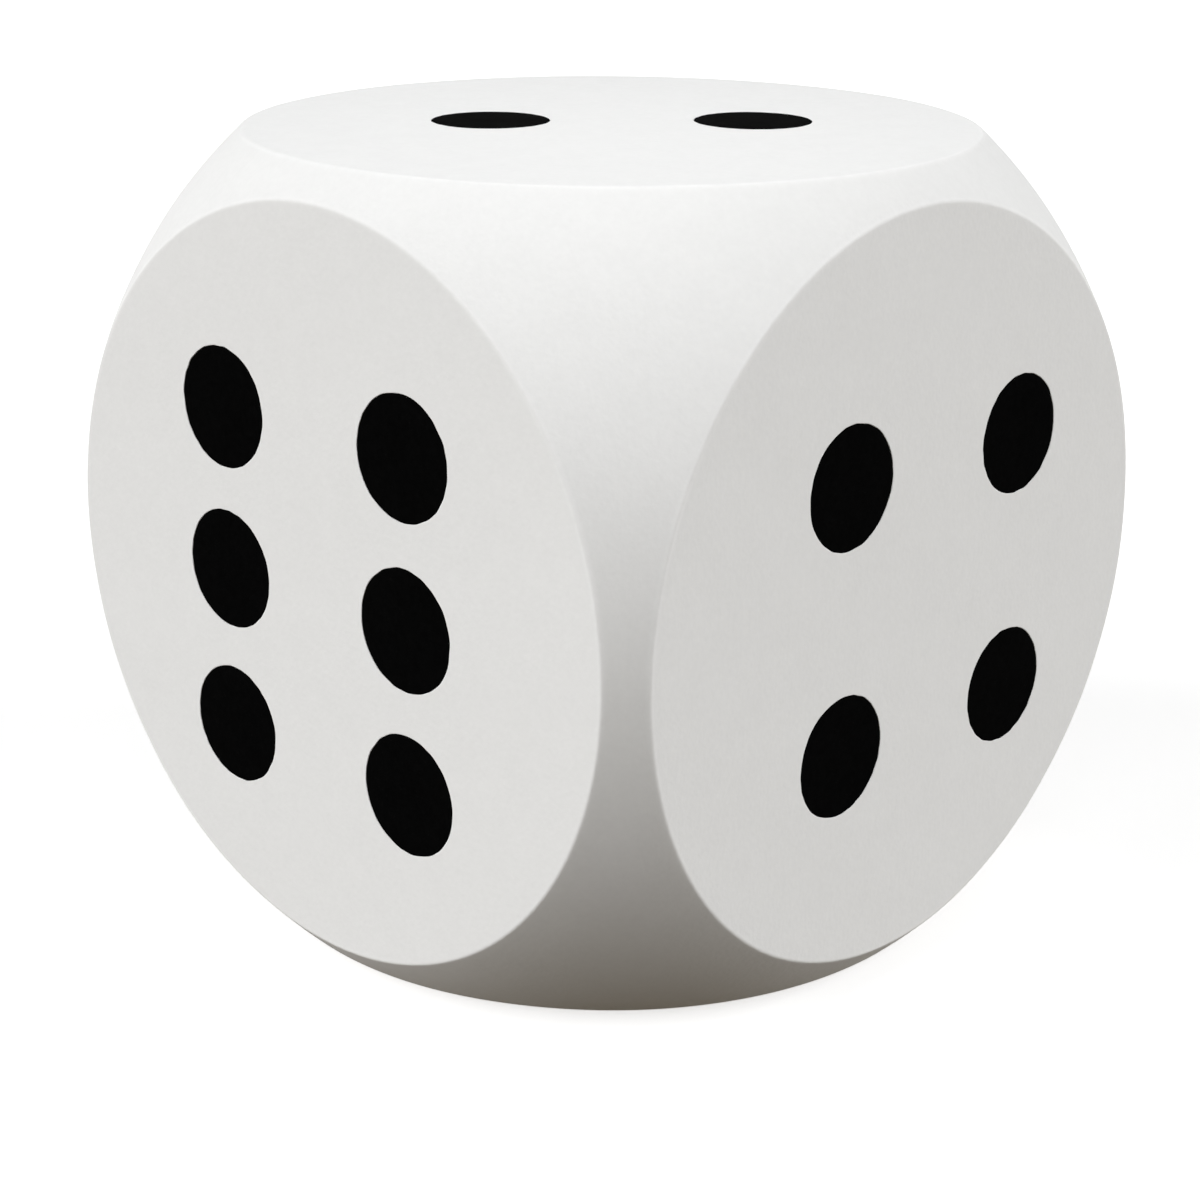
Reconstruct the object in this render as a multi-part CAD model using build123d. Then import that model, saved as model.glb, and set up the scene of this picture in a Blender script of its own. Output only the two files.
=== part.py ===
from build123d import *

import os

# Giant foam play die: four bonded foam planks with twenty-one inlaid black foam pips.
# The die is a cube whose edges and corners are turned away by a ball, which leaves a round flat
# on each of the six sides. The origin is the middle of the lower flat. Six faces -Y, four faces
# +X and two faces +Z. Opposite sides add up to seven.

# Overall sizes, in millimetres
EDGE = 200.0            # from one flat to the opposite flat
FLAT_DIAMETER = 185.0   # round flat on each side
RIM_RADIUS = 1.0        # softening where a flat meets the ball

# The body is a stack of planks. The two middle ones are full stock, the outer two are cut to size.
PLANK_THICKNESS = 50.0

# Pips: discs of black foam in blind pockets, flush with the flat
PIP_DIAMETER = 30.0
PIP_THICKNESS = 10.0
GLUE_CLEARANCE = 0.15   # around the side of a pip, filled with adhesive on the real die

# Pip spacings, centre to centre
SIX_COLUMN_SPACING = 64.0
SIX_ROW_SPACING = 41.0
SQUARE_SPACING = 66.0   # four and five
THREE_SPACING = 33.0    # each way from the centre pip to an outer one
TWO_SPACING = 47.0      # each way between the two pips

# The patterns are marked out by hand, and some sit a little off the middle of their flat: to the
# right and up, as seen from outside.
SIX_OFFSET = (-1.5, -2.0)
FOUR_OFFSET = (7.5, -2.0)
TWO_OFFSET = (-2.0, 6.0)

HALF_EDGE = EDGE / 2
BALL_RADIUS = (HALF_EDGE**2 + (FLAT_DIAMETER / 2) ** 2) ** 0.5


def face_plane(normal, right):
    """Plane on one flat: origin at its middle, X to the right and Y up as seen from outside."""
    middle = Vector(0, 0, HALF_EDGE) + Vector(*normal) * HALF_EDGE
    return Plane(origin=middle, x_dir=right, z_dir=normal)


FRONT = face_plane((0, -1, 0), (1, 0, 0))
RIGHT = face_plane((1, 0, 0), (0, 1, 0))
TOP = face_plane((0, 0, 1), (1, 0, 0))
BACK = face_plane((0, 1, 0), (-1, 0, 0))
LEFT = face_plane((-1, 0, 0), (0, -1, 0))
BOTTOM = face_plane((0, 0, -1), (1, 0, 0))


def square_pattern(half):
    """Four named places at the corners of a square of the given half side."""
    return {
        "upper_left": (-half, half),
        "upper_right": (half, half),
        "lower_left": (-half, -half),
        "lower_right": (half, -half),
    }


def shifted(pattern, offset):
    """The same pattern moved bodily by the offset."""
    return {name: (x + offset[0], y + offset[1]) for name, (x, y) in pattern.items()}


def six_pattern():
    """Two columns of three."""
    rows = {"upper": SIX_ROW_SPACING, "middle": 0.0, "lower": -SIX_ROW_SPACING}
    columns = {"left": -SIX_COLUMN_SPACING / 2, "right": SIX_COLUMN_SPACING / 2}
    return {f"{r}_{c}": (x, y) for r, y in rows.items() for c, x in columns.items()}


def two_pattern():
    """Two pips on a diagonal."""
    half = TWO_SPACING / 2
    return {"near": (-half, -half), "far": (half, half)}


def three_pattern():
    """Three pips on a diagonal, the middle one at the centre."""
    return {
        "upper": (-THREE_SPACING, THREE_SPACING),
        "centre": (0.0, 0.0),
        "lower": (THREE_SPACING, -THREE_SPACING),
    }


def pip_places():
    """Node name of each pip, with its face plane and its place on that plane."""
    patterns = {
        "six": (FRONT, shifted(six_pattern(), SIX_OFFSET)),
        "four": (RIGHT, shifted(square_pattern(SQUARE_SPACING / 2), FOUR_OFFSET)),
        "two": (TOP, shifted(two_pattern(), TWO_OFFSET)),
        "one": (BACK, {"centre": (0.0, 0.0)}),
        "three": (LEFT, three_pattern()),
        "five": (BOTTOM, square_pattern(SQUARE_SPACING / 2) | {"centre": (0.0, 0.0)}),
    }
    return {
        f"pip_{number}_{place}": (plane, xy)
        for number, (plane, pattern) in patterns.items()
        for place, xy in pattern.items()
    }


def make_envelope():
    """Whole outer shape: the cube cut by the ball, with the rims of the flats softened."""
    cube = Box(EDGE, EDGE, EDGE, align=(Align.CENTER, Align.CENTER, Align.MIN))
    shape = cube & Pos(0, 0, HALF_EDGE) * Sphere(BALL_RADIUS)
    return fillet(shape.edges(), RIM_RADIUS)


def disc(plane, xy, radius, depth):
    """Cylinder sunk into the die from a flat, from its surface down to the depth."""
    sunk = Cylinder(radius, depth, align=(Align.CENTER, Align.CENTER, Align.MAX))
    return plane * Pos(xy[0], xy[1], 0) * sunk


def make_pockets(places):
    """Blind round pockets for all pips."""
    radius = PIP_DIAMETER / 2 + GLUE_CLEARANCE
    return [disc(plane, xy, radius, PIP_THICKNESS) for plane, xy in places.values()]


def make_planks(envelope, pockets):
    """The body's four planks, each face to face with the next, with the pockets cut into them."""
    seams = [0, HALF_EDGE - PLANK_THICKNESS, HALF_EDGE, HALF_EDGE + PLANK_THICKNESS, EDGE]
    names = ["bottom_plank", "lower_middle_plank", "upper_middle_plank", "top_plank"]
    planks = {}
    for name, low, high in zip(names, seams, seams[1:]):
        slab = Pos(0, 0, low) * Box(
            EDGE, EDGE, high - low, align=(Align.CENTER, Align.CENTER, Align.MIN)
        )
        planks[name] = (envelope & slab) - pockets
    return planks


def make_pips(envelope, places):
    """The pips, shaped with the body wherever one reaches the rim of its flat."""
    radius = PIP_DIAMETER / 2
    return {
        name: envelope & disc(plane, xy, radius, PIP_THICKNESS)
        for name, (plane, xy) in places.items()
    }


def main():
    places = pip_places()
    envelope = make_envelope()
    nodes = make_planks(envelope, make_pockets(places)) | make_pips(envelope, places)
    os.makedirs("parts", exist_ok=True)
    for name, solid in nodes.items():
        export_step(solid, f"parts/{name}.step")


main()
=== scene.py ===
import math

import bmesh
import bpy
import numpy as np
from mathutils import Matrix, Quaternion, Vector
from mathutils.geometry import delaunay_2d_cdt


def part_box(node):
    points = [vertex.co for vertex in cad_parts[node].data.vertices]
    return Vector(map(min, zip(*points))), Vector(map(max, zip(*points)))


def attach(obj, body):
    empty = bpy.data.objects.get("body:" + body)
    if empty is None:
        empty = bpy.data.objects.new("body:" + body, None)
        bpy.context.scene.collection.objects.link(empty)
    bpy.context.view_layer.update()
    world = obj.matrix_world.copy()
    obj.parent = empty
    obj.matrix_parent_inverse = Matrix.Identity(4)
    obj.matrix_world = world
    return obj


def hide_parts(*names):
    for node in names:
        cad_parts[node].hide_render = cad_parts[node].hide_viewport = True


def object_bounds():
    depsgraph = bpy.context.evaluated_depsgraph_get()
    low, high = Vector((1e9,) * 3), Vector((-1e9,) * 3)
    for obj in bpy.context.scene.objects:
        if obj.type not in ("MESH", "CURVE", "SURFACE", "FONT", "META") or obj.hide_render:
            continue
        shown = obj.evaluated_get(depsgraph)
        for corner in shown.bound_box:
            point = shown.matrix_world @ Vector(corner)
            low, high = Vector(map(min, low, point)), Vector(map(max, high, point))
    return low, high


# Giant foam play die: four bonded white foam planks and twenty-one inlaid black foam discs.
# Lengths are in metres. Places and outer sizes come from the frame.

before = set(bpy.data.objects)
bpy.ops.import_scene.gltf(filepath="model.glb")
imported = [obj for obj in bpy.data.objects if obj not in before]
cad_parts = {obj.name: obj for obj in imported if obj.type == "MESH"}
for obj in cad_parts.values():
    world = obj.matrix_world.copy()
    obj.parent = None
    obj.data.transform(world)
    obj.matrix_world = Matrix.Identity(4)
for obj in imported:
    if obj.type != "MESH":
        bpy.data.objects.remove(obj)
cad_low, cad_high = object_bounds()

PLANKS = ["bottom_plank", "lower_middle_plank", "upper_middle_plank", "top_plank"]
PIPS = sorted(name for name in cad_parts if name.startswith("pip_"))

HALF_EDGE = (cad_high.z - cad_low.z) / 2
CENTRE = np.array([0.0, 0.0, HALF_EDGE])

# The turned body
FLAT_RADIUS = 0.0925
RIM_RADIUS = 0.0012     # softening where a flat meets the ball
BALL_RADIUS = math.hypot(HALF_EDGE, FLAT_RADIUS)
WAVE_DEPTH = 0.00022    # how far the hand-finished surface dips at most
WAVE_LENGTHS = (0.034, 0.047, 0.062, 0.085, 0.11)
WAVE_SEED = 20

# The inlaid discs and their pockets
LIP_RADIUS = 0.00014    # softening of the pocket's edge
DISC_EDGE_RADIUS = 0.00025      # softening of the disc's edge
POCKET_GAP = 0.00004    # between disc and pocket
KNIFE_WOBBLE = 0.00015  # how far a cut outline strays from its circle
KNIFE_WAVES = (3, 29)   # waves round a cut outline, from the first number up to below the second
KNIFE_FADE = 0.4        # how fast the finer waves grow weaker

# Painted highlight along the rims
HIGHLIGHT_REACH = 0.0012      # how far from a rim the painted highlight reaches
HIGHLIGHT_LIGHTNESS = 0.07    # how much paler the painted highlight makes the foam on the rim

# Mesh density
QUARTER_STEPS = 72      # around a quarter of a rim
RIM_STEPS = 4
BAND_LEVELS = 6
POCKET_STEPS = 180
LIP_STEPS = 4
DISC_RINGS = 6          # between the middle of a disc's face and its edge
DISC_REACH = 0.9        # share of a disc's radius from its edge to the innermost ring
LATTICE = 0.0035        # spacing of points inside a flat
GUARDS = (0.0003, 0.0014)   # rings on the flat beside a soft edge, which keep its shading narrow
WELD = 2e-6             # points closer than this are one point
SAME_POINT = 1e-9       # the same for points of a flat that are being filled
ON_SEAM = 1e-7          # points this close to a seam lie on it
CREASE = 35             # degrees between two faces, past which their shared edge is sharp


# ---------------------------------------------------------------- mesh helpers

class Patchwork:
    """Patches of one surface, kept as whole arrays and welded when the surface is finished."""

    def __init__(self):
        self.points, self.faces, self.count = [], [], 0

    def add(self, points, faces):
        """Points, and faces that count those points from nought."""
        self.points.append(points)
        self.faces.extend((faces + self.count).tolist())
        self.count += len(points)

    def add_grid(self, grid, wrap):
        """A rows by columns grid of points as quads; wrap joins the last column to the first."""
        rows, columns = grid.shape[:2]
        row = np.arange(rows - 1)[:, None]
        column = np.arange(columns if wrap else columns - 1)[None, :]
        after = (column + 1) % columns
        corners = [row * columns + column, row * columns + after,
                   (row + 1) * columns + after, (row + 1) * columns + column]
        self.add(grid.reshape(-1, 3), np.stack(corners, -1).reshape(-1, 4))

    def add_fan(self, ring, middle):
        """Triangles from a closed ring of points to one point inside it."""
        index = np.arange(len(ring))
        fan = np.stack([index, np.roll(index, -1), np.full(len(ring), len(ring))], -1)
        self.add(np.vstack([ring, middle]), fan)

    def to_bmesh(self):
        """One closed, hand-finished bmesh with its faces turned outwards."""
        mesh = bpy.data.meshes.new("patchwork")
        mesh.from_pydata(hand_finished(np.vstack(self.points)).tolist(), [], self.faces)
        surface = bmesh.new()
        surface.from_mesh(mesh)
        bpy.data.meshes.remove(mesh)
        bmesh.ops.remove_doubles(surface, verts=surface.verts, dist=WELD)
        bmesh.ops.recalc_face_normals(surface, faces=surface.faces)
        return surface


def circle(count):
    """Unit circle as count points, counter-clockwise from the first axis."""
    turn = np.linspace(0, 2 * math.pi, count, endpoint=False)
    return np.stack([np.cos(turn), np.sin(turn)], -1)


def filled(points, edges):
    """Triangles over the area that closed loops of edges enclose, leaving loops inside it open.

    A triangle is kept where a line from its middle to the right crosses the edges an odd number
    of times.
    """
    places = [Vector(p) for p in points.tolist()]
    joined = delaunay_2d_cdt(places, edges.tolist(), [], 0, SAME_POINT)
    source = np.array([origins[0] for origins in joined[3]])
    triangles = source[np.array(joined[2])]
    x, y = np.split(points[triangles].mean(axis=1), 2, axis=1)
    start, end = points[edges[:, 0]], points[edges[:, 1]]
    straddles = (start[:, 1] > y) != (end[:, 1] > y)
    rise = np.where(straddles, end[:, 1] - start[:, 1], 1)
    crossing = start[:, 0] + (end[:, 0] - start[:, 0]) * (y - start[:, 1]) / rise
    return triangles[(straddles & (crossing > x)).sum(axis=1) % 2 == 1]


def finished_piece(surface, name, material, nodes):
    """Object made of a bmesh, with its shading, its material and the nodes that it stands for."""
    mesh = bpy.data.meshes.new(name)
    surface.to_mesh(mesh)
    surface.free()
    mesh.polygons.foreach_set("use_smooth", np.ones(len(mesh.polygons), bool))
    mesh.set_sharp_from_angle(angle=math.radians(CREASE))
    mesh.materials.append(material)
    piece = bpy.data.objects.new(name, mesh)
    bpy.context.scene.collection.objects.link(piece)
    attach(piece, "root")
    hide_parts(*nodes)
    return piece


# ---------------------------------------------------------------- shared shape

WAVE_RNG = np.random.default_rng(WAVE_SEED)
WAVE_DIRECTIONS = WAVE_RNG.normal(size=(len(WAVE_LENGTHS), 3))
WAVE_DIRECTIONS /= np.linalg.norm(WAVE_DIRECTIONS, axis=1, keepdims=True)
WAVE_PHASES = WAVE_RNG.uniform(0, 2 * math.pi, len(WAVE_LENGTHS))


def hand_finished(points):
    """Points drawn towards the centre by a depth between nought and WAVE_DEPTH.

    The depth is a sum of plane sine waves, one for each wave length.
    """
    along = points @ WAVE_DIRECTIONS.T / np.array(WAVE_LENGTHS)
    swell = np.sin(2 * math.pi * along + WAVE_PHASES).mean(axis=1)
    depth = WAVE_DEPTH * (1 + swell) / 2
    return CENTRE + (points - CENTRE) * (1 - depth / HALF_EDGE)[:, None]


def knife_outline(seed, steps):
    """How far one cut outline strays from its circle, all the way round.

    It is a sum of waves round the circle, the finer ones a little weaker, scaled so that the
    farthest point strays by KNIFE_WOBBLE.
    """
    rng = np.random.default_rng(seed)
    waves = np.arange(*KNIFE_WAVES)
    weight = rng.normal(size=len(waves)) / waves**KNIFE_FADE
    phase = rng.uniform(0, 2 * math.pi, len(waves))
    turn = np.linspace(0, 2 * math.pi, steps, endpoint=False)
    wobble = np.cos(np.outer(turn, waves) + phase) @ weight
    return KNIFE_WOBBLE * wobble / np.abs(wobble).max()


class Flat:
    """One round flat: its middle, its right, up and outward directions, and its pips."""

    def __init__(self, axis, sign):
        first, second = (axis + 1) % 3, (axis + 2) % 3
        if sign < 0:
            first, second = second, first
        self.right, self.up = np.eye(3)[first], np.eye(3)[second]
        self.outward = np.eye(3)[axis] * sign
        self.middle = CENTRE + HALF_EDGE * self.outward
        self.pips = []

    def place(self, flat_points, depth=0.0):
        """Points given as right and up on the flat, sunk by the depth, in the row frame."""
        sunk = self.middle - np.multiply.outer(depth, self.outward)
        return sunk + flat_points[..., :1] * self.right + flat_points[..., 1:] * self.up


class Pip:
    """One inlaid disc: its node, its middle on the flat, its radius, thickness and cut outline."""

    def __init__(self, node, flats):
        low, high = (np.array(corner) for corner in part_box(node))
        extent = high - low
        axis = int(np.argmin(extent))
        sign = 1 if abs(high[axis] - CENTRE[axis] - HALF_EDGE) < WELD * 10 else -1
        self.node = node
        self.flat = flats[axis, sign]
        self.thickness = extent[axis]
        self.radius = extent.max() / 2
        middle = (low + high) / 2 - self.flat.middle
        self.middle = np.array([middle @ self.flat.right, middle @ self.flat.up])
        self.wobble = knife_outline(PIPS.index(node) + 1, POCKET_STEPS)
        self.flat.pips.append(self)

    def rings(self, offsets, depths):
        """Rings around the pip at the given distances outside its outline, and their depths."""
        reach = self.radius + self.wobble + np.array(offsets)[:, None]
        flat_points = self.middle + reach[..., None] * circle(POCKET_STEPS)
        depth = np.broadcast_to(np.array(depths)[:, None], reach.shape)
        return self.flat.place(flat_points, depth)


# ---------------------------------------------------------------- the body

def rim_profile():
    """Radius and depth along a rim, from the ball round to the flat and on to the guard rings.

    The rounding is an arc that touches both the ball and the flat.
    """
    arc_height = HALF_EDGE - RIM_RADIUS
    arc_radius = math.sqrt((BALL_RADIUS - RIM_RADIUS) ** 2 - arc_height**2)
    turn = np.linspace(math.atan2(arc_radius, arc_height), 0, RIM_STEPS + 1)
    radius = arc_radius + RIM_RADIUS * np.sin(turn)
    depth = RIM_RADIUS * (1 - np.cos(turn))
    guards = arc_radius - np.array(GUARDS)
    return np.concatenate([radius, guards]), np.concatenate([depth, np.zeros(len(guards))])


def add_ball(body):
    """What is left of the ball between the six rims, as a grid of level and angle.

    At each level the ball is a circle, and where the circle passes outside a side flat, that
    stretch is left out. The levels follow the rims of the side flats in equal steps of angle.
    """
    radii, depths = rim_profile()
    edge_radius, edge_height = radii[0], HALF_EDGE - depths[0]
    turn = np.linspace(-math.pi / 2, math.pi / 2, 2 * QUARTER_STEPS + 1)
    top = np.linspace(edge_radius, edge_height, BAND_LEVELS + 1)[1:]
    levels = np.concatenate([-top[::-1], edge_radius * np.sin(turn), top])
    across = np.sqrt(BALL_RADIUS**2 - levels**2)
    start = np.arccos(np.minimum(1, edge_height / across))
    share = np.linspace(0, 1, QUARTER_STEPS + 1)
    for quarter in range(4):
        angle = quarter * math.pi / 2 + start[:, None] + share * (math.pi / 2 - 2 * start[:, None])
        height = np.broadcast_to(levels[:, None], angle.shape)
        x, y = across[:, None] * np.cos(angle), across[:, None] * np.sin(angle)
        body.add_grid(CENTRE + np.stack([x, y, height], -1), wrap=False)


def lattice(radius):
    """Points of a triangular lattice inside a circle."""
    reach = int(radius / LATTICE) + 2
    row, column = np.mgrid[-reach:reach + 1, -reach:reach + 1]
    x = (column + 0.5 * (row % 2)) * LATTICE
    y = row * LATTICE * math.sqrt(0.75)
    points = np.stack([x.ravel(), y.ravel()], -1)
    return points[np.hypot(points[:, 0], points[:, 1]) < radius]


def add_flat(body, flat):
    """Rim, pockets and the level ground between them."""
    radii, depths = rim_profile()
    around = circle(4 * QUARTER_STEPS)
    rim = flat.place(radii[:, None, None] * around, np.repeat(depths[:, None], len(around), 1))
    body.add_grid(rim, wrap=True)

    turn = np.linspace(0, math.pi / 2, LIP_STEPS + 1)
    lip_offsets = POCKET_GAP + LIP_RADIUS * (1 - np.sin(turn))
    lip_depths = LIP_RADIUS * (1 - np.cos(turn))
    guards = lip_offsets[0] + np.array(GUARDS[::-1])
    loops = [radii[-1] * around]
    for pip in flat.pips:
        offsets = np.concatenate([guards, lip_offsets, [POCKET_GAP, POCKET_GAP]])
        side_depths = [pip.thickness / 2, pip.thickness]
        sunk = np.concatenate([np.zeros(len(guards)), lip_depths, side_depths])
        pocket = pip.rings(offsets, sunk)
        body.add_grid(pocket, wrap=True)
        body.add_fan(pocket[-1], flat.place(pip.middle, pip.thickness))
        reach = pip.radius + pip.wobble + guards[0]
        loops.append(pip.middle + reach[:, None] * circle(POCKET_STEPS))
    body.add(*level_ground(flat, loops))


def level_ground(flat, loops):
    """Triangles over the flat inside the first loop and outside the others."""
    spread = lattice(np.linalg.norm(loops[0], axis=1).min() - LATTICE / 2)
    for pip in flat.pips:
        away = np.linalg.norm(spread - pip.middle, axis=1)
        spread = spread[away > pip.radius + GUARDS[-1] + LATTICE / 2]
    edges, first = [], 0
    for loop in loops:
        index = np.arange(len(loop)) + first
        edges.append(np.stack([index, np.roll(index, -1)], -1))
        first += len(loop)
    points = np.vstack(loops + [spread])
    return flat.place(points), filled(points, np.vstack(edges))


def make_body(flats):
    """The whole turned body: what is left of the ball, and the six flats."""
    body = Patchwork()
    add_ball(body)
    for flat in flats.values():
        add_flat(body, flat)
    return body.to_bmesh()


def cut_plank(surface, node):
    """The stretch of the body between a plank's lower and upper seam, closed at the seams."""
    low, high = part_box(node)
    plank = surface.copy()
    for height, keep_above in ((low.z, True), (high.z, False)):
        if abs(height - cad_low.z) < WELD or abs(height - cad_high.z) < WELD:
            continue
        cut = bmesh.ops.bisect_plane(
            plank,
            geom=plank.verts[:] + plank.edges[:] + plank.faces[:],
            dist=ON_SEAM,
            plane_co=(0, 0, height),
            plane_no=(0, 0, -1 if keep_above else 1),
            clear_outer=True,
        )
        rim = [e for e in cut["geom_cut"] if isinstance(e, bmesh.types.BMEdge) and e.is_boundary]
        corners = list(dict.fromkeys(v for e in rim for v in e.verts))
        order = {v: i for i, v in enumerate(corners)}
        edges = np.array([[order[v] for v in e.verts] for e in rim])
        for triangle in filled(np.array([v.co.xy for v in corners]), edges):
            plank.faces.new([corners[i] for i in triangle])
    bmesh.ops.recalc_face_normals(plank, faces=plank.faces)
    return plank


# ---------------------------------------------------------------- the discs

def make_disc(pip):
    """A disc of foam: a level face, a rounded edge, a straight side and a level back."""
    turn = np.linspace(0, math.pi / 2, LIP_STEPS + 2)
    edge_offsets = -DISC_EDGE_RADIUS * (1 - np.sin(turn))
    edge_depths = DISC_EDGE_RADIUS * (1 - np.cos(turn))
    inner = -np.linspace(pip.radius * DISC_REACH, DISC_EDGE_RADIUS + GUARDS[0], DISC_RINGS)
    offsets = np.concatenate([inner, edge_offsets, [0, 0]])
    side_depths = [pip.thickness / 2, pip.thickness]
    depths = np.concatenate([np.zeros(len(inner)), edge_depths, side_depths])
    disc = Patchwork()
    rings = pip.rings(offsets, depths)
    disc.add_grid(rings, wrap=True)
    disc.add_fan(rings[0], pip.flat.place(pip.middle))
    disc.add_fan(rings[-1], pip.flat.place(pip.middle, pip.thickness))
    return disc.to_bmesh()


# ---------------------------------------------------------------- materials

WHITE_TONE = (0.836, 0.839, 0.834)
BLACK_TONE = (0.0015, 0.0015, 0.0015)
WHITE_GLOSS, BLACK_GLOSS = 0.04, 0.01
SKIN_PATCH = 0.012      # size of the patches of smoother and rougher skin


def new_material(name):
    """A material with its nodes, its links and its shader."""
    material = bpy.data.materials.new(name)
    material.use_nodes = True
    nodes = material.node_tree.nodes
    return material, nodes, material.node_tree.links, nodes["Principled BSDF"]


def add_math(material, operation, *values):
    """A maths node fed with the given numbers or sockets."""
    node = material.node_tree.nodes.new("ShaderNodeMath")
    node.operation = operation
    for socket, value in zip(node.inputs, values):
        if isinstance(value, bpy.types.NodeSocket):
            material.node_tree.links.new(value, socket)
        else:
            socket.default_value = value
    return node.outputs[0]


def add_noise(material, size, detail, low, high):
    """Noise with features of the given size, spread between two values."""
    nodes, links = material.node_tree.nodes, material.node_tree.links
    texture = nodes.new("ShaderNodeTexNoise")
    texture.inputs["Scale"].default_value = 1 / size
    texture.inputs["Detail"].default_value = detail
    texture.inputs["Roughness"].default_value = 0.6
    links.new(nodes.new("ShaderNodeTexCoord").outputs["Object"], texture.inputs["Vector"])
    spread = nodes.new("ShaderNodeMapRange")
    for name, value in zip(("From Min", "From Max", "To Min", "To Max"), (0.3, 0.7, low, high)):
        spread.inputs[name].default_value = value
    links.new(texture.outputs["Fac"], spread.inputs["Value"])
    return spread.outputs["Result"]


def add_tone(material, colour, strength):
    """Base colour of the foam: the given colour made lighter or darker by a socket near 1."""
    nodes, links = material.node_tree.nodes, material.node_tree.links
    scale = nodes.new("ShaderNodeVectorMath")
    scale.operation = "SCALE"
    scale.inputs[0].default_value = colour
    links.new(strength, scale.inputs["Scale"])
    links.new(scale.outputs["Vector"], nodes["Principled BSDF"].inputs["Base Color"])


def add_surface(material, grain_size, grain_height, pore_size, pore_height, rough, smooth):
    """Fine grain and shallow pores as bump, and a roughness that varies with patches of skin."""
    nodes, links = material.node_tree.nodes, material.node_tree.links
    shader = nodes["Principled BSDF"]
    pores = nodes.new("ShaderNodeTexVoronoi")
    pores.inputs["Scale"].default_value = 1 / pore_size
    links.new(nodes.new("ShaderNodeTexCoord").outputs["Object"], pores.inputs["Vector"])
    grain = add_noise(material, grain_size, 3, 0, grain_height)
    height = add_math(material, "MULTIPLY_ADD", pores.outputs["Distance"], pore_height, grain)
    bump = nodes.new("ShaderNodeBump")
    bump.inputs["Distance"].default_value = 1
    links.new(height, bump.inputs["Height"])
    links.new(bump.outputs["Normal"], shader.inputs["Normal"])
    links.new(add_noise(material, SKIN_PATCH, 3, smooth, rough), shader.inputs["Roughness"])


def rim_closeness(material, reach):
    """One on a rim, falling to nought at the given distance from it.

    A point's depth inside the cube and its depth inside the ball are added: on the ball the
    first grows away from the rims, and on a flat the second does.
    """
    nodes, links = material.node_tree.nodes, material.node_tree.links
    shifted = nodes.new("ShaderNodeVectorMath")
    shifted.operation = "SUBTRACT"
    shifted.inputs[1].default_value = CENTRE
    links.new(nodes.new("ShaderNodeTexCoord").outputs["Object"], shifted.inputs[0])
    length = nodes.new("ShaderNodeVectorMath")
    length.operation = "LENGTH"
    links.new(shifted.outputs["Vector"], length.inputs[0])
    axes = nodes.new("ShaderNodeSeparateXYZ")
    links.new(shifted.outputs["Vector"], axes.inputs["Vector"])
    x, y, z = (add_math(material, "ABSOLUTE", axes.outputs[name]) for name in "XYZ")
    farthest = add_math(material, "MAXIMUM", add_math(material, "MAXIMUM", x, y), z)
    reached = add_math(material, "ADD", farthest, length.outputs["Value"])
    depth = add_math(material, "SUBTRACT", HALF_EDGE + BALL_RADIUS, reached)
    fade = nodes.new("ShaderNodeMapRange")
    fade.interpolation_type = "SMOOTHSTEP"
    for name, value in zip(("From Min", "From Max", "To Min", "To Max"), (0, reach, 1, 0)):
        fade.inputs[name].default_value = value
    links.new(depth, fade.inputs["Value"])
    return fade.outputs["Result"]


def make_white_foam():
    """Matt white foam: cloudy and finely speckled tone, with a painted highlight along the rims.
    """
    material, _, _, shader = new_material("white_foam")
    shader.inputs["Specular IOR Level"].default_value = WHITE_GLOSS
    clouds = add_noise(material, size=0.009, detail=3, low=0.992, high=1.008)
    specks = add_noise(material, size=0.0017, detail=3, low=0.988, high=1.012)
    # Painted highlight: the foam is made paler in a narrow band along every rim, more in some
    # stretches than in others.
    near_rim = rim_closeness(material, HIGHLIGHT_REACH)
    highlight_spread = add_noise(material, size=0.03, detail=2, low=0.2 * HIGHLIGHT_LIGHTNESS, high=HIGHLIGHT_LIGHTNESS)
    rim_highlight = add_math(material, "MULTIPLY", near_rim, highlight_spread)
    tone = add_math(material, "ADD", add_math(material, "MULTIPLY", clouds, specks), rim_highlight)
    add_tone(material, WHITE_TONE, tone)
    add_surface(material, grain_size=0.0011, grain_height=0.000015,
                pore_size=0.0014, pore_height=0.000022, rough=0.98, smooth=0.88)
    return material


def make_black_foam():
    """Matt black foam with a fine grain."""
    material, _, _, shader = new_material("black_foam")
    shader.inputs["Specular IOR Level"].default_value = BLACK_GLOSS
    add_tone(material, BLACK_TONE, add_noise(material, size=0.0016, detail=3, low=0.7, high=1.3))
    add_surface(material, grain_size=0.0009, grain_height=0.00002,
                pore_size=0.0011, pore_height=0.00003, rough=1.0, smooth=0.9)
    return material


# ---------------------------------------------------------------- the die

flats = {(axis, sign): Flat(axis, sign) for axis in range(3) for sign in (1, -1)}
pips = [Pip(node, flats) for node in PIPS]

white_foam, black_foam = make_white_foam(), make_black_foam()
body_surface = make_body(flats)
for node in PLANKS:
    finished_piece(cut_plank(body_surface, node), node + "_foam", white_foam, [node])
body_surface.free()
for pip in pips:
    finished_piece(make_disc(pip), pip.node + "_disc", black_foam, [pip.node])


# ---------------------------------------------------------------- floor, light and camera

STUDIO_RADIUS = 12
STUDIO_STEPS = 96       # around the floor and the backdrop
BACKDROP_LEVELS = 25
FLOOR_TONE = (0.66, 0.66, 0.66, 1)
FLOOR_GLOW = 0.58       # brings the floor up to near white
SOFTNESS = 45           # degrees across each distant light
GLOW = 0.105            # strength of the faint light from below
GLOW_TONE = (1, 0.77, 0.48, 1)
GLOW_FADE = 0.1         # how far below the horizon that light reaches its full strength

# Azimuth and elevation in degrees, and strength
DISTANT_LIGHTS = {
    "left_light": (-30, 26, 2.93),
    "right_light": (122, 27, 2.55),
    "front_light": (41, 42, 0.55),
    "back_light": (222, 9, 0.6),
}

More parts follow.
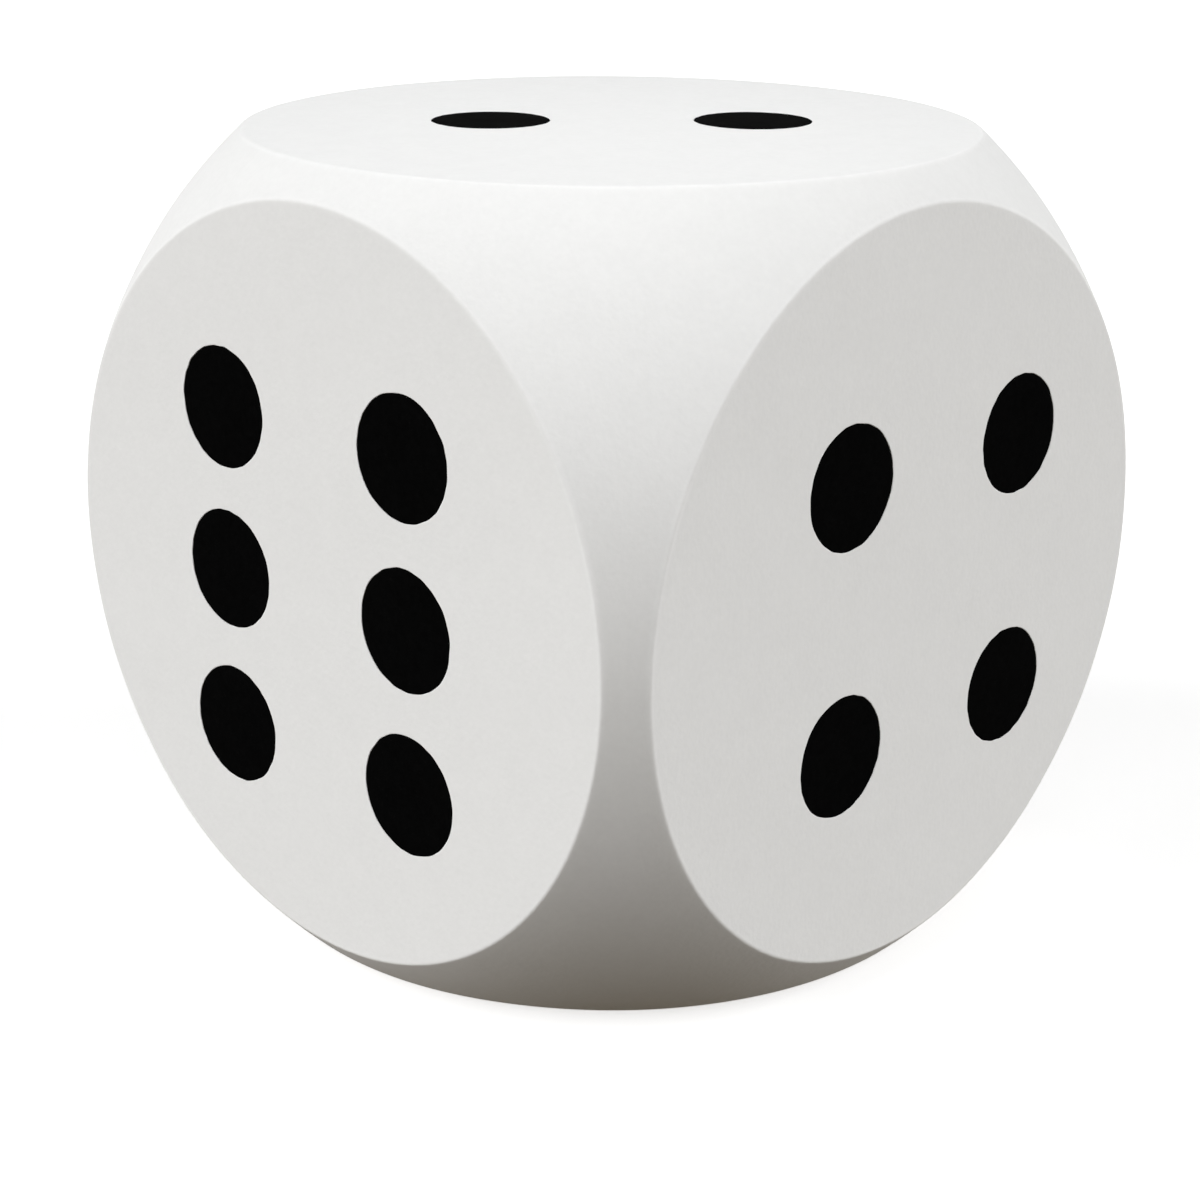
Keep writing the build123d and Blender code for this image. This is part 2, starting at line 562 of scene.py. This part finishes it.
CAMERA_LENS, CAMERA_SENSOR = 73.07, 36      # millimetres
CAMERA_AZIMUTH, CAMERA_ELEVATION = 43.30, 17.117
CAMERA_DISTANCE = 0.6446                    # from the middle of the die
CAMERA_AIM = (0.00428, -0.00753, 0.07609)
CAMERA_ROLL = 0.388                         # degrees


def staged(patchwork, name, material):
    """Puts a floor or backdrop in the scene. It throws no light of its own onto the die."""
    mesh = bpy.data.meshes.new(name)
    mesh.from_pydata(np.vstack(patchwork.points).tolist(), [], patchwork.faces)
    mesh.materials.append(material)
    piece = bpy.data.objects.new(name, mesh)
    bpy.context.scene.collection.objects.link(piece)
    piece.visible_diffuse = False
    return piece


def make_floor():
    """A wide level disc in plain near-white paint, just under the die."""
    ring = circle(STUDIO_STEPS) * STUDIO_RADIUS
    ring = np.column_stack([ring, np.full(STUDIO_STEPS, cad_low.z)])
    disc = Patchwork()
    disc.add_fan(ring, np.array([0.0, 0.0, cad_low.z]))
    material, _, _, shader = new_material("floor_paint")
    shader.inputs["Base Color"].default_value = FLOOR_TONE
    shader.inputs["Roughness"].default_value = 0.9
    shader.inputs["Specular IOR Level"].default_value = 0
    shader.inputs["Emission Color"].default_value = (1, 1, 1, 1)
    shader.inputs["Emission Strength"].default_value = FLOOR_GLOW
    staged(disc, "floor", material)


def make_backdrop():
    """A plain white half-sphere far round the die, seen but casting neither light nor shadow."""
    rise = np.linspace(0, math.pi / 2, BACKDROP_LEVELS)[:, None, None]
    across = circle(STUDIO_STEPS) * np.cos(rise)
    height = np.broadcast_to(np.sin(rise), (BACKDROP_LEVELS, STUDIO_STEPS, 1))
    shell = Patchwork()
    shell.add_grid(np.concatenate([across, height], -1) * STUDIO_RADIUS, wrap=True)
    material, _, _, shader = new_material("backdrop_paint")
    shader.inputs["Base Color"].default_value = (0, 0, 0, 1)
    shader.inputs["Specular IOR Level"].default_value = 0
    shader.inputs["Emission Color"].default_value = (1, 1, 1, 1)
    shader.inputs["Emission Strength"].default_value = 1
    backdrop = staged(shell, "backdrop", material)
    backdrop.visible_glossy = False
    backdrop.visible_shadow = False


def direction(azimuth, elevation):
    """Unit vector from the die: azimuth 0 is towards -Y and 90 towards +X, in degrees."""
    a, e = math.radians(azimuth), math.radians(elevation)
    return Vector((math.sin(a) * math.cos(e), -math.cos(a) * math.cos(e), math.sin(e)))


def distant_light(name, azimuth, elevation, strength):
    """A broad soft light far from the die, in the given direction."""
    lamp = bpy.data.lights.new(name, "SUN")
    lamp.angle, lamp.energy = math.radians(SOFTNESS), strength
    light = bpy.data.objects.new(name, lamp)
    light.rotation_mode = "QUATERNION"
    light.rotation_quaternion = direction(azimuth, elevation).to_track_quat("Z", "Y")
    bpy.context.scene.collection.objects.link(light)


def near_light(name, azimuth, elevation, distance, size, power):
    """A small square soft box that faces the middle of the die and can't be seen itself."""
    lamp = bpy.data.lights.new(name, "AREA")
    lamp.size, lamp.energy = size, power
    light = bpy.data.objects.new(name, lamp)
    towards = direction(azimuth, elevation)
    light.location = Vector(CENTRE) + towards * distance
    light.rotation_mode = "QUATERNION"
    light.rotation_quaternion = towards.to_track_quat("Z", "Y")
    light.visible_camera = False
    bpy.context.scene.collection.objects.link(light)


def make_world():
    """Faint warm light from below the horizon, and none from above it."""
    world = bpy.data.worlds.new("studio")
    world.use_nodes = True
    nodes, links = world.node_tree.nodes, world.node_tree.links
    height = nodes.new("ShaderNodeSeparateXYZ")
    links.new(nodes.new("ShaderNodeTexCoord").outputs["Generated"], height.inputs["Vector"])
    fade = nodes.new("ShaderNodeMapRange")
    for name, value in zip(("From Min", "From Max", "To Min", "To Max"), (-GLOW_FADE, 0, GLOW, 0)):
        fade.inputs[name].default_value = value
    links.new(height.outputs["Z"], fade.inputs["Value"])
    links.new(fade.outputs["Result"], nodes["Background"].inputs["Strength"])
    nodes["Background"].inputs["Color"].default_value = GLOW_TONE
    bpy.context.scene.world = world


def make_camera():
    """Slightly above the die, off its front right edge, with a fairly long lens."""
    data = bpy.data.cameras.new("camera")
    data.lens, data.sensor_width = CAMERA_LENS, CAMERA_SENSOR
    camera = bpy.data.objects.new("camera", data)
    towards = direction(CAMERA_AZIMUTH, CAMERA_ELEVATION)
    camera.location = Vector(CENTRE) + towards * CAMERA_DISTANCE
    look = (Vector(CAMERA_AIM) - camera.location).to_track_quat("-Z", "Y")
    camera.rotation_mode = "QUATERNION"
    camera.rotation_quaternion = look @ Quaternion((0, 0, 1), math.radians(CAMERA_ROLL))
    bpy.context.scene.collection.objects.link(camera)
    bpy.context.scene.camera = camera


make_floor()
make_backdrop()
make_world()
for light_name, (azimuth, elevation, strength) in DISTANT_LIGHTS.items():
    distant_light(light_name, azimuth, elevation, strength)
near_light("top_light", azimuth=43, elevation=78, distance=0.31, size=0.2, power=0.085)
make_camera()
bpy.context.scene.view_settings.view_transform = "Standard"
